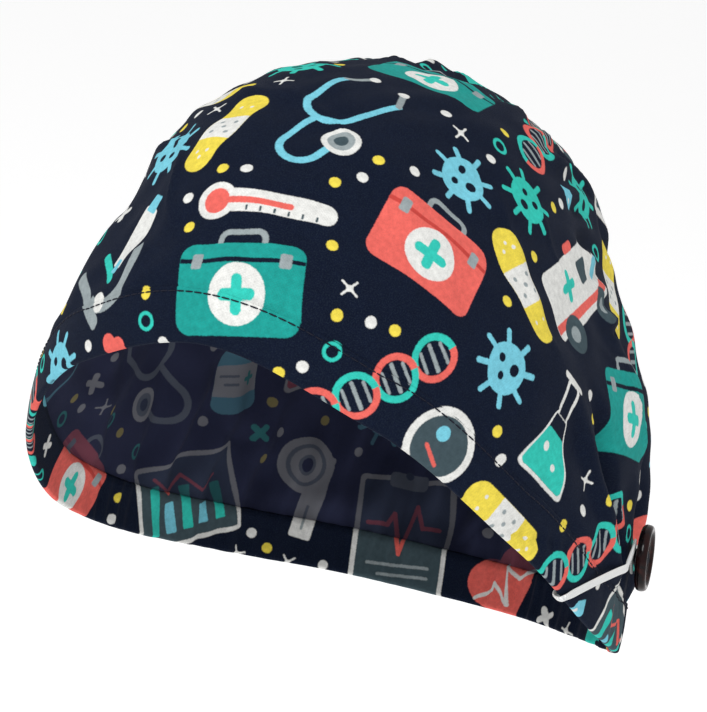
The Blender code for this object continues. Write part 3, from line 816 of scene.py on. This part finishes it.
def printedCotton(name, rows):
    material, tree, shader = plainMaterial(name, {
        "Specular IOR Level": cottonLook["specular"], "Sheen Weight": cottonLook["sheen"],
        "Sheen Roughness": cottonLook["sheenRough"], "Sheen Tint": cottonLook["sheenTint"]})
    place, weave = (addNode(tree, "ShaderNodeUVMap", uv_map=name).outputs[0] for name in ("print", "weave"))
    # yarns make the edges of the ink a little ragged
    stray = noiseNode(tree, weave, cottonLook["raggedScale"])["Color"]
    stray = vectorNode(tree, "SUBTRACT", stray, (0.5, 0.5, 0.5))
    ragged = vectorNode(tree, "MULTIPLY_ADD", stray, cottonLook["ragged"], place)
    color = linear("navy")
    for x, y, halfWidth, halfHeight, corner, turn, taper, line, cut, ink in rows:
        shape = {"Place": ragged, "Under": color, "Ink": linear(ink), "Centre": (x, y, 0),
                 "Half": (halfWidth, halfHeight, 0), "Corner": corner, "Turn": radians(turn), "Taper": taper,
                 "Line": line, "Cut": cut}
        color = addGroup(tree, shapeGroup, shape)["Color"]
    cotton = addGroup(tree, cottonGroup, {"Print": color, "Weave": weave})
    fillInputs(tree, shader, {
        "Base Color": cotton["Color"], "Roughness": cotton["Roughness"], "Normal": cotton["Normal"]})
    return material


clothMaterials = [printedCotton("cotton_" + name, rows) for name, rows, *_ in motifs]


def addMesh(name, points, faces, materials):
    mesh = bpy.data.meshes.new(name)
    mesh.from_pydata(np.asarray(points).tolist(), [], [tuple(face) for face in faces])
    for material in materials:
        mesh.materials.append(material)
    mesh.shade_smooth()
    obj = bpy.data.objects.new(name, mesh)
    bpy.context.collection.objects.link(obj)
    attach(obj, "root")
    return obj


def numbered(rings):
    return np.arange(rings[..., 0].size).reshape(rings.shape[:2])


def flipped(faces):
    return [face[::-1] for face in faces]


# quads between rings of vertex numbers, given as a grid with one ring in each row
def ringFaces(grid, closed=False):
    lower, upper = (grid, np.roll(grid, -1, 0)) if closed else (grid[:-1], grid[1:])
    quads = np.stack([lower, np.roll(lower, -1, 1), np.roll(upper, -1, 1), upper], -1)
    return quads.reshape(-1, 4).tolist()


# columns stand closer round the back, where the cloth is gathered
def ringAngles(count):
    even = np.arange(count) / count * 360 - 180
    return wrapped(even + crown["columnCrowding"] * np.sin(np.radians(even)))


# ---- crown
print("crown")


def buildCrown():
    angles = ringAngles(crown["columns"])
    seam = waysAboveHem(angles, [band["height"] - crown["tuckedIn"]])[:, 0]
    shares = 1 - (1 - np.arange(crown["rows"]) / crown["rows"]) ** crown["rowCrowding"]
    ways = seam[None] + (1 - seam[None]) * shares[:, None]
    angleGrid = np.broadcast_to(angles, ways.shape)
    seamGrid = np.broadcast_to(seam, ways.shape)
    outer = crownPoint(angleGrid, ways, seamGrid).reshape(-1, 3)
    inner = crownPoint(angleGrid, ways, seamGrid, crown["cloth"]).reshape(-1, 3)
    tips = [crownPoint(np.zeros(1), np.ones(1), seam[:1], depth)[0] for depth in (0.0, crown["cloth"])]
    flat = smoothPoint(angleGrid, ways).reshape(-1, 3)
    flatTip = smoothPoint(0, 1.0)
    count = len(outer)
    outerGrid = np.arange(count).reshape(ways.shape)
    innerGrid = outerGrid + count
    fans = [[a, b, 2 * count] for a, b in zip(outerGrid[-1], np.roll(outerGrid[-1], -1))]
    innerFans = [[b, a, 2 * count + 1] for a, b in zip(innerGrid[-1], np.roll(innerGrid[-1], -1))]
    outerFaces = ringFaces(outerGrid) + fans
    innerFaces = flipped(ringFaces(innerGrid)) + innerFans
    rim = flipped(ringFaces(np.stack([outerGrid[0], innerGrid[0]])))
    points = np.concatenate([outer, inner, tips])
    flatPoints = np.concatenate([flat, flat, [flatTip, flatTip]])
    obj = addMesh("crown_cloth", points, outerFaces + innerFaces + rim, clothMaterials)
    inside = np.zeros(len(obj.data.polygons))
    inside[len(outerFaces):] = 1
    layPrint(obj.data, flatPoints, inside)
    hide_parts("crown")
    return obj


crownCloth = buildCrown()

# ---- band
print("band")


def buildBand():
    angles = ringAngles(band["columns"])
    thick, top, lip = band["thickness"], band["height"], band["lip"]
    foldTurns = np.radians(np.linspace(0, 180, band["foldStations"]))
    edgeDip, faceDip = band["topDip"]
    # (height, depth) from the sewn edge down the face, round the fold and up the back
    outline = [(top - edgeDip, lip), (top, lip * band["lipShoulder"]), (top - faceDip, 0.0)]
    outline += [(top * share, 0.0) for share in (band["faceTop"], *band["faceShares"][::-1])]
    outline += [(thick / 2 * (1 - np.sin(turn)), thick / 2 * (1 - np.cos(turn))) for turn in foldTurns]
    outline += [(top * share, thick) for share in band["faceShares"]]
    outline += [(top - band["innerDip"], thick), (top, thick - lip)]
    heights, depths = np.array(outline).T
    grid = bandPoint(angles, heights, depths).transpose(1, 0, 2)
    flat = smoothPoint(angles[:, None], waysAboveHem(angles, heights)).transpose(1, 0, 2)
    faces = flipped(ringFaces(numbered(grid), closed=True))
    obj = addMesh("band_cloth", grid.reshape(-1, 3), faces, clothMaterials)
    layPrint(obj.data, flat.reshape(-1, 3), np.zeros(len(faces)), band["printShift"])
    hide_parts("band")
    return obj


bandCloth = buildBand()

# ---- stitching, buttons and elastic
print("small pieces")


def joined(parts):
    points, faces, count = [], [], 0
    for partPoints, partFaces in parts:
        points.append(partPoints)
        faces += [[count + k for k in face] for face in partFaces]
        count += len(partPoints)
    return np.concatenate(points), faces


# a profile of (across, up) offsets carried along points, its `up` turned to `facing`
def swept(points, facing, profile):
    along = unit(np.gradient(points, axis=0))
    across = unit(np.cross(along, np.broadcast_to(facing, points.shape)))
    up = np.cross(across, along)
    rings = points[:, None] + across[:, None] * profile[:, :1] + up[:, None] * profile[:, 1:]
    grid = numbered(rings)
    faces = flipped(ringFaces(grid)) + [grid[0].tolist(), grid[-1][::-1].tolist()]
    return rings.reshape(-1, 3), faces


def spokesAt(turns, axis, up):
    return np.cross(up, axis) * np.cos(turns)[:, None] + up * np.sin(turns)[:, None]


# a solid turned about an axis from rows of (radius, height)
def turned(foot, axis, up, rows, sides):
    spokes = spokesAt(np.arange(sides) / sides * 2 * pi, axis, up)
    rows = np.array(rows)
    rings = foot + axis * rows[:, 1, None, None] + spokes[None] * rows[:, 0, None, None]
    grid = numbered(rings)
    faces = ringFaces(grid) + [grid[0][::-1].tolist(), grid[-1].tolist()]
    return rings.reshape(-1, 3), faces


def circle(radius, sides):
    turns = np.arange(sides) / sides * 2 * pi
    return np.stack([np.cos(turns), np.sin(turns)], -1) * radius


def lengthsAlong(line):
    return np.concatenate([[0], np.linalg.norm(np.diff(line, axis=0), axis=-1).cumsum()])


# smooth line through points, with `steps` stations between each two
def through(points, steps):
    points = np.asarray(points)
    ends = np.concatenate([[2 * points[0] - points[1]], points, [2 * points[-1] - points[-2]]])
    a, b, c, d = ends[:-3, None], ends[1:-2, None], ends[2:-1, None], ends[3:, None]
    t = (np.arange(steps) / steps)[None, :, None]
    line = 0.5 * (2 * b + (c - a) * t + (2 * a - 5 * b + 4 * c - d) * t**2 + (3 * b - a - 3 * c + d) * t**3)
    return np.concatenate([line.reshape(-1, 3), points[-1:]])


def addDetail(name, parts, material, replaced=()):
    obj = addMesh(name, *joined(parts), [material])
    if replaced:
        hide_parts(*replaced)
    return obj


stitching = {
    "below": 0.0014, "pitch": 0.0027, "length": 0.0023, "radius": 0.00020, "sides": 6, "stations": 900,
    "rise": (-0.00016, 0.00010, 0.00015, 0.00010, -0.00016),
}
threadCotton, _, _ = plainMaterial("navy_thread", {
    "Base Color": (0.006, 0.007, 0.017, 1), "Roughness": 0.70, "Specular IOR Level": 0.2})


def buildStitching():
    angles = ringAngles(stitching["stations"])
    height = band["height"] - stitching["below"]
    line = bandPoint(angles, [height], [0.0])[:, 0]
    normals = outward(angles, waysAboveHem(angles, [height])[:, 0])
    line, normals = np.concatenate([line, line[:1]]), np.concatenate([normals, normals[:1]])
    lengths = lengthsAlong(line)
    count = round(lengths[-1] / stitching["pitch"])
    rise = np.array(stitching["rise"])[:, None]
    parts = []
    for k in range(count):
        at = lengths[-1] * k / count + np.linspace(0, stitching["length"], len(rise))
        points, facing = (
            np.stack([np.interp(at, lengths, side) for side in rows.T], -1) for rows in (line, normals))
        parts.append(swept(points + facing * rise, facing, circle(stitching["radius"], stitching["sides"])))
    return addDetail("hem_stitching", parts, threadCotton)


hemStitching = buildStitching()

# from the back edge round the rim to the sunk middle: shares of the radius and of the thickness
buttonRows = (
    (0.55, 0.00), (0.70, 0.005), (0.83, 0.045), (0.92, 0.12), (0.975, 0.25), (1.0, 0.42), (1.0, 0.60),
    (0.985, 0.80), (0.955, 0.93), (0.915, 0.99), (0.88, 1.0), (0.845, 0.985), (0.81, 0.93), (0.78, 0.84),
    (0.75, 0.745), (0.71, 0.68), (0.65, 0.65), (0.30, 0.64),
)
buttonLook = {
    "sides": 96, "holeSides": 24, "sharpFrom": 50, "strandRadius": 0.00026, "strandGap": 0.00042,
    "strandRise": 0.0004, "strandStations": 11, "strandSunk": 0.4, "strandSides": 8,
    "coilTurns": 6, "coilRadius": 0.00205, "coilThread": 0.00033, "coilStations": 24, "coilEnd": 0.0004,
    "coreFoot": 0.0002, "coreSides": 32, "hornGrainAndGlintScale": 170.0, "wearScale": 900.0, "wearRough": (0.16, 0.08),
    "hornGrainAndGlints": ((0.42, (0.004, 0.003, 0.004, 1)), (0.78, (0.040, 0.008, 0.006, 1))),
}


def makeButtonMaterial():
    material, tree, shader = plainMaterial("dark_button", {
        "Specular IOR Level": 0.12, "Coat Weight": 0.05, "Coat Roughness": 0.08})
    place = addNode(tree, "ShaderNodeTexCoord").outputs["Object"]
    # reddish streaks in the near-black base colour: partly horn grain, partly painted reddish glints
    hornGrainAndGlints = noiseNode(tree, place, buttonLook["hornGrainAndGlintScale"], 3.0, 1.6)["Fac"]
    ramp = addNode(tree, "ShaderNodeValToRGB", {"Fac": hornGrainAndGlints})
    for stop, (at, color) in zip(ramp.color_ramp.elements, buttonLook["hornGrainAndGlints"]):
        stop.position, stop.color = at, color
    flecked = noiseNode(tree, place, buttonLook["wearScale"])["Fac"]
    flecked = mathNode(tree, "MULTIPLY_ADD", flecked, *buttonLook["wearRough"])
    fillInputs(tree, shader, {"Base Color": ramp.outputs["Color"], "Roughness": flecked})
    return material


darkButton = makeButtonMaterial()


def buttonFrame(side):
    angle = side * button["angle"]
    axis = outward(angle, buttonWay)
    up = smoothPoint(angle, buttonWay + nudgeWay) - smoothPoint(angle, buttonWay)
    return smoothPoint(angle, buttonWay), axis, unit(up - axis * (up @ axis))


def drill(body, pins):
    cut = body.modifiers.new("holes", "BOOLEAN")
    cut.object, cut.solver = pins, "EXACT"
    drilled = bpy.data.meshes.new_from_object(body.evaluated_get(bpy.context.evaluated_depsgraph_get()))
    body.modifiers.clear()
    body.data = drilled
    drilled.set_sharp_from_angle(angle=radians(buttonLook["sharpFrom"]))
    bpy.data.objects.remove(pins)


def buildButton(name, side):
    foot, axis, up = buttonFrame(side)
    sideways = np.cross(up, axis)
    radius, thick, stand = button["diameter"] / 2, button["thickness"], button["stand"]
    rows = [(radius * out, stand + thick * share) for out, share in buttonRows]
    body = [turned(foot, axis, up, rows, buttonLook["sides"])]
    body = addDetail("button_body_" + name, body, darkButton, ["button_" + name])
    half = button["holeSpacing"] / 2
    holes = [foot + (sideways * x + up * y) * half for x, y in ((1, 1), (-1, 1), (-1, -1), (1, -1))]
    pinRows = [(button["hole"] / 2, stand - thick), (button["hole"] / 2, stand + 2 * thick)]
    pins = [turned(hole, axis, up, pinRows, buttonLook["holeSides"]) for hole in holes]
    drill(body, addMesh("pins", *joined(pins), []))
    # thread: a wound shank behind, and two crossing bundles of strands through the holes
    coreRows = [(buttonLook["coilRadius"], buttonLook["coreFoot"]), (buttonLook["coilRadius"], stand)]
    parts = [turned(foot, axis, up, coreRows, buttonLook["coreSides"])]
    count = buttonLook["coilTurns"]
    turns = np.linspace(0, count * 2 * pi, count * buttonLook["coilStations"])
    spokes = spokesAt(turns, axis, up)
    climb = np.linspace(buttonLook["coilEnd"], stand - buttonLook["coilEnd"], len(turns))[:, None]
    coil = foot + spokes * buttonLook["coilRadius"] + axis * climb
    parts.append(swept(coil, spokes, circle(buttonLook["coilThread"], buttonLook["strandSides"])))
    floor = stand + thick * buttonRows[-1][1]
    sunk = axis * (floor - thick * buttonLook["strandSunk"])
    shares = np.linspace(0, 1, buttonLook["strandStations"])[:, None]
    rise = axis * (floor + buttonLook["strandRise"] * (0.5 + np.sin(pi * shares)))
    for start, end in ((holes[0], holes[2]), (holes[1], holes[3])):
        aside = unit(np.cross(end - start, axis)) * buttonLook["strandGap"]
        line = np.concatenate([[start + sunk], start + (end - start) * shares + rise, [end + sunk]])
        for lane in (-1, 0, 1):
            strand = circle(buttonLook["strandRadius"], buttonLook["strandSides"])
            parts.append(swept(line + aside * lane, aside, strand))
    addDetail("button_thread_" + name, parts, threadCotton, ["button_shank_" + name])


for sideName, side in (("left", 1), ("right", -1)):
    buildButton(sideName, side)

elastic = {
    "width": 0.0024, "thickness": 0.0009, "clearance": 0.0004, "hemAngle": 73, "tuck": 0.0070,
    "runStations": 14, "wrapStep": 20, "bow": 0.16, "tautening": 60, "give": 0.0001,
    "foldTurns": (-55, -20, 20, 55), "foldRoom": 1.1, "steps": 6,
    "profilePoints": 28, "roundness": 0.6, "ribs": 3, "ribDepth": 0.16,
    "ribScale": 0.55, "ribStray": 1.2, "fuzzScale": 3.0, "bump": (0.5, 0.0002),
    "paintedGrooveShade": ((0.60, 0.61, 0.62, 1), (0.86, 0.86, 0.84, 1)),
}


def elasticPath():
    lift, rounding = elastic["clearance"] + elastic["thickness"] / 2, band["thickness"] / 2
    hem, thick = elastic["hemAngle"], band["thickness"]
    stations = []
    for height in (elastic["tuck"], (elastic["tuck"] + thick) / 2, thick):
        here = np.array([squareToHem(hem, height)])
        normal = outward(here, waysAboveHem(here, [height])[:, 0])[0]
        stations.append((bandPoint(here, [height], [thick])[0, 0] - normal * lift, -normal))
    middle = bandPoint(np.array([float(hem)]), [rounding], [rounding])[0, 0]
    normal = outward(hem, 0)
    down = unit(np.cross(alongRing(hem, 0), normal))
    for turn in np.radians(elastic["foldTurns"]):
        spoke = normal * np.sin(turn) + down * np.cos(turn)
        stations.append((middle + spoke * (rounding + lift) * elastic["foldRoom"], spoke))
    foot, axis, up = buttonFrame(1)
    wrap = button["shank"] / 2 + elastic["clearance"] + elastic["width"] / 2
    first = squareToHem(hem, thick)
    for share in np.arange(elastic["runStations"]) / elastic["runStations"]:
        here = np.array([first + (button["angle"] - first) * share])
        climbed = share + elastic["bow"] * np.sin(pi * share)
        way = waysAboveHem(here, [thick + (buttonHeight + wrap - thick) * climbed])[:, 0]
        seam = waysAboveHem(here, [band["height"]])[:, 0]
        point, normal = smoothPoint(here, way), outward(here, way)
        folded = (singleFolds(here, way) + gathers(here, way, seam)) * calmByButton(here, point)
        folded = np.maximum(folded, clothHeight(here, way, seam, point))
        height = lift + band["proud"] + np.maximum(0, folded)
        stations.append(((point + normal * height[:, None])[0], normal[0]))
    # the strap is stretched: its run straightens where the cloth lets it
    points, facing = (np.array(part) for part in zip(*stations))
    run = np.arange(len(points) - elastic["runStations"], len(points))
    ends = foot + up * wrap + axis * lift
    floors = (points * facing).sum(-1)
    for _ in range(elastic["tautening"]):
        following = np.concatenate([points[run[1:]], [ends]])
        points[run] = (points[run - 1] + following) / 2
        sunk = np.maximum(0, floors[run] - elastic["give"] - (points[run] * facing[run]).sum(-1))
        points[run] += facing[run] * sunk[:, None]
    stations = list(zip(points, facing))
    sideways = np.cross(up, axis)
    for turn in np.radians(np.arange(90, -91, -elastic["wrapStep"])):
        spoke = up * np.sin(turn) - sideways * np.cos(turn)
        stations.append((foot + spoke * wrap + axis * lift, axis))
    points, facing = (np.array(part) for part in zip(*stations))
    return through(points, elastic["steps"]), unit(through(facing, elastic["steps"]))


def makeElasticMaterial():
    material, tree, shader = plainMaterial("white_elastic", {"Roughness": 0.78, "Sheen Weight": 0.25})
    flat = addNode(tree, "ShaderNodeUVMap", uv_map="knit").outputs[0]
    ribs = {"Vector": flat, "Scale": elastic["ribScale"], "Distortion": elastic["ribStray"]}
    ribs = addNode(tree, "ShaderNodeTexWave", ribs, bands_direction="X").outputs["Fac"]
    fuzz = noiseNode(tree, flat, elastic["fuzzScale"], 3.0)["Fac"]
    # the grooves between the knit ribs are painted grey as painted shade; the crests keep the elastic's white
    fillInputs(tree, shader, {
        "Base Color": mixNode(tree, ribs, *elastic["paintedGrooveShade"]),
        "Normal": bumpNode(tree, *elastic["bump"], mathNode(tree, "ADD", ribs, fuzz))})
    return material


def buildElastic():
    turns = np.arange(elastic["profilePoints"]) / elastic["profilePoints"] * 2 * pi - pi / 2
    x, y = (np.sign(side) * np.abs(side) ** elastic["roundness"] for side in (np.cos(turns), np.sin(turns)))
    y = y * (1 - elastic["ribDepth"] + elastic["ribDepth"] * np.cos(x * elastic["ribs"] * pi))
    profile = np.stack([x * elastic["width"] / 2, y * elastic["thickness"] / 2], -1)
    points, facing = elasticPath()
    strap = [swept(points, facing, profile)]
    obj = addDetail("ear_elastic_strap", strap, makeElasticMaterial(), ["ear_elastic"])
    station, place = np.divmod(cornerPoints(obj.data), len(profile))
    across = place / len(profile) * elastic["width"] * 2
    addCoordinates(obj.data, "knit", np.stack([lengthsAlong(points)[station], across], -1) / mm)


buildElastic()

# ---- camera, floor and light
print("camera and light")
shot = {
    "azimuth": 21.4, "elevation": 12, "roll": 8, "distance": 1.000, "lens": 177.2, "sensor": 36,
    "aimRight": -0.00216, "aimUp": -0.01695,
}
studio = {"floor": -0.32, "floorSize": 40, "floorGlow": 0.27, "world": 0.70}


def placeCamera():
    a, e, roll = (radians(shot[key]) for key in ("azimuth", "elevation", "roll"))
    back = Vector((np.sin(a) * np.cos(e), -np.cos(a) * np.cos(e), np.sin(e)))
    level = Vector((np.cos(a), np.sin(a), 0))
    upright = back.cross(level)
    right = level * np.cos(roll) + upright * np.sin(roll)
    up = upright * np.cos(roll) - level * np.sin(roll)
    camera = bpy.data.objects.new("camera", bpy.data.cameras.new("camera"))
    bpy.context.collection.objects.link(camera)
    camera.data.lens = shot["lens"]
    camera.data.sensor_width = shot["sensor"]
    camera.data.sensor_fit = "HORIZONTAL"
    camera.data.dof.use_dof = False
    place = back * shot["distance"] + right * shot["aimRight"] + up * shot["aimUp"]
    turn = np.array([right, up, back]).T
    matrix = np.eye(4)
    matrix[:3, :3], matrix[:3, 3] = turn, place
    camera.matrix_world = Matrix(matrix.tolist())
    bpy.context.scene.camera = camera


placeCamera()


def addFloor():
    half = studio["floorSize"] / 2
    mesh = bpy.data.meshes.new("floor")
    corners = [(x * half, y * half, studio["floor"]) for x, y in ((-1, -1), (1, -1), (1, 1), (-1, 1))]
    mesh.from_pydata(corners, [], [(0, 1, 2, 3)])
    material, _, _ = plainMaterial("pale_floor", {
        "Base Color": (0.95, 0.95, 0.95, 1), "Roughness": 0.9,
        "Emission Color": (1, 1, 1, 1), "Emission Strength": studio["floorGlow"]})
    mesh.materials.append(material)
    floor = bpy.data.objects.new("floor", mesh)
    bpy.context.collection.objects.link(floor)


addFloor()


def addLight(name, place, size, power):
    light = bpy.data.lights.new(name, "AREA")
    light.size, light.energy = size, power
    obj = bpy.data.objects.new(name, light)
    obj.location = place
    obj.rotation_euler = (-Vector(place)).to_track_quat("-Z", "Y").to_euler()
    bpy.context.collection.objects.link(obj)


addLight("key", (0.10, -1.35, 1.40), 0.7, 20)
addLight("fill", (-1.5, -0.9, 0.5), 1.2, 1.5)
world = bpy.data.worlds.new("studio")
world.use_nodes = True
background = world.node_tree.nodes["Background"]
fillInputs(world.node_tree, background, {"Color": (1, 1, 1, 1), "Strength": studio["world"]})
bpy.context.scene.world = world
bpy.context.scene.view_settings.view_transform = "Standard"
